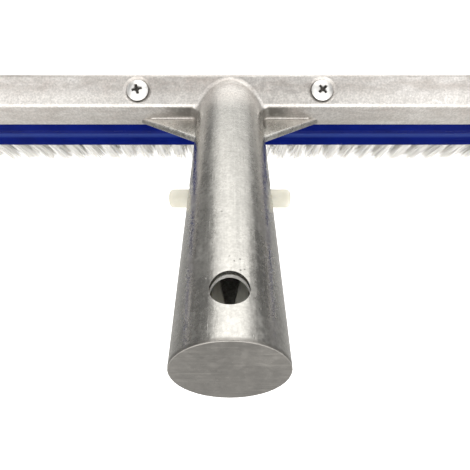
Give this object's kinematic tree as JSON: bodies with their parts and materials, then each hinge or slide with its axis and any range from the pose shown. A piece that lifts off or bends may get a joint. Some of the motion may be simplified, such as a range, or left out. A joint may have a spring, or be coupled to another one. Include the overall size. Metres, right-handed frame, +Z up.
{
  "type": "pool wall brush",
  "caption": "Pool wall brush: curved cast back with a tilted round pole spigot, a spring clip with side buttons, and a moulded block of soft bristle tufts.",
  "frame": {"origin": "middle of the bristle face, where the tips of the straight middle stretch lie", "axes": "+X along the head, +Y to the rear (the spigot points forward and up), +Z up out of the head's back"},
  "size_m": [0.4434, 0.1189, 0.1289],
  "materials": {
    "cast_aluminium": "polished die casting with fine flow marks and pits",
    "blue_plastic": "glossy moulded",
    "bristle_nylon": "soft off-white filaments",
    "anchor_steel": "plain strip",
    "screw_steel": "bright, smooth",
    "clip_plastic": "ivory, smooth moulded"
  },
  "bodies": {
    "head": {"back_casting": "cast_aluminium", "bristle_block": "blue_plastic", "tufts_front": "bristle_nylon", "tufts_mid_front": "bristle_nylon", "tufts_middle": "bristle_nylon", "tufts_mid_rear": "bristle_nylon", "tufts_rear": "bristle_nylon", "anchors_front": "anchor_steel", "anchors_mid_front": "anchor_steel", "anchors_middle": "anchor_steel", "anchors_mid_rear": "anchor_steel", "anchors_rear": "anchor_steel", "screw_inner_left": "screw_steel", "screw_inner_right": "screw_steel", "screw_outer_left": "screw_steel", "screw_outer_right": "screw_steel", "clip_bend": "clip_plastic"},
    "clip_left": {"clip_arm_left": "clip_plastic"},
    "clip_right": {"clip_arm_right": "clip_plastic"}
  },
  "joints": [
    {"name": "clip_left_press", "type": "hinge", "parent": "head", "child": "clip_left", "pos_m": [0, -0.08488, 0.10996], "axis": [0, -0.6428, -0.766], "range_deg": [0, 7], "stiffness_Nm_per_rad": 1.5, "springref_deg": -4.58},
    {"name": "clip_right_press", "type": "hinge", "parent": "head", "child": "clip_right", "pos_m": [0, -0.08488, 0.10996], "axis": [0, 0.6428, 0.766], "range_deg": [0, 7], "stiffness_Nm_per_rad": 1.5, "springref_deg": -4.58}
  ]
}
